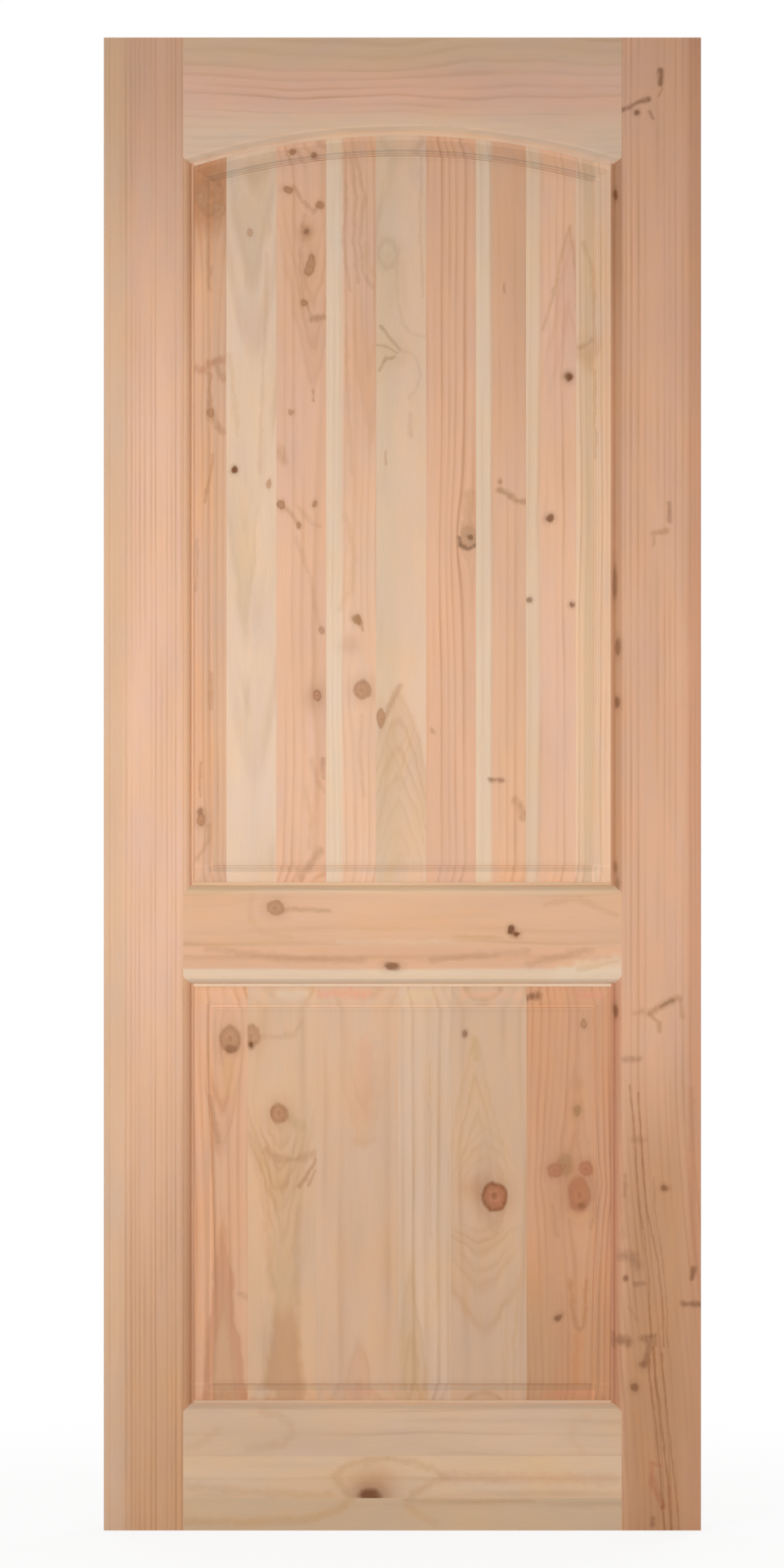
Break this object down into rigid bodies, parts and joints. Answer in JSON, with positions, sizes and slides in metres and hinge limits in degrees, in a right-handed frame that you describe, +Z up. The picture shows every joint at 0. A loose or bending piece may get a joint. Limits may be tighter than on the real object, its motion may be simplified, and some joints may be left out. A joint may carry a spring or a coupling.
{
  "type": "arched panel wooden door slab",
  "caption": "Stile-and-rail wooden door slab with moulded openings, an arched raised panel above the lock rail and a square raised panel below it, made to be hung from one long edge.",
  "frame": {"origin": "middle of the bottom edge, at half thickness", "axes": "+Z up the door, +X across its width to the right seen from the front, +Y through its thickness to the back"},
  "size_m": [0.8128, 0.035, 2.032],
  "materials": {
    "stile_wood": "planed, unfinished",
    "rail_wood": "planed, unfinished",
    "panel_wood": "planed, unfinished",
    "dowel_wood": "turned, unfinished"
  },
  "bodies": {
    "root": {"left_stile": "stile_wood", "right_stile": "stile_wood", "top_rail": "rail_wood", "lock_rail_upper_board": "rail_wood", "lock_rail_lower_board": "rail_wood", "bottom_rail_upper_board": "rail_wood", "bottom_rail_middle_board": "rail_wood", "bottom_rail_lower_board": "rail_wood", "upper_stave_1": "panel_wood", "upper_stave_2": "panel_wood", "upper_stave_3": "panel_wood", "upper_stave_4": "panel_wood", "upper_stave_5": "panel_wood", "upper_stave_6": "panel_wood", "upper_stave_7": "panel_wood", "upper_stave_8": "panel_wood", "upper_stave_9": "panel_wood", "lower_stave_1": "panel_wood", "lower_stave_2": "panel_wood", "lower_stave_3": "panel_wood", "lower_stave_4": "panel_wood", "lower_stave_5": "panel_wood", "lower_stave_6": "panel_wood", "dowels": "dowel_wood"}
  },
  "joints": []
}
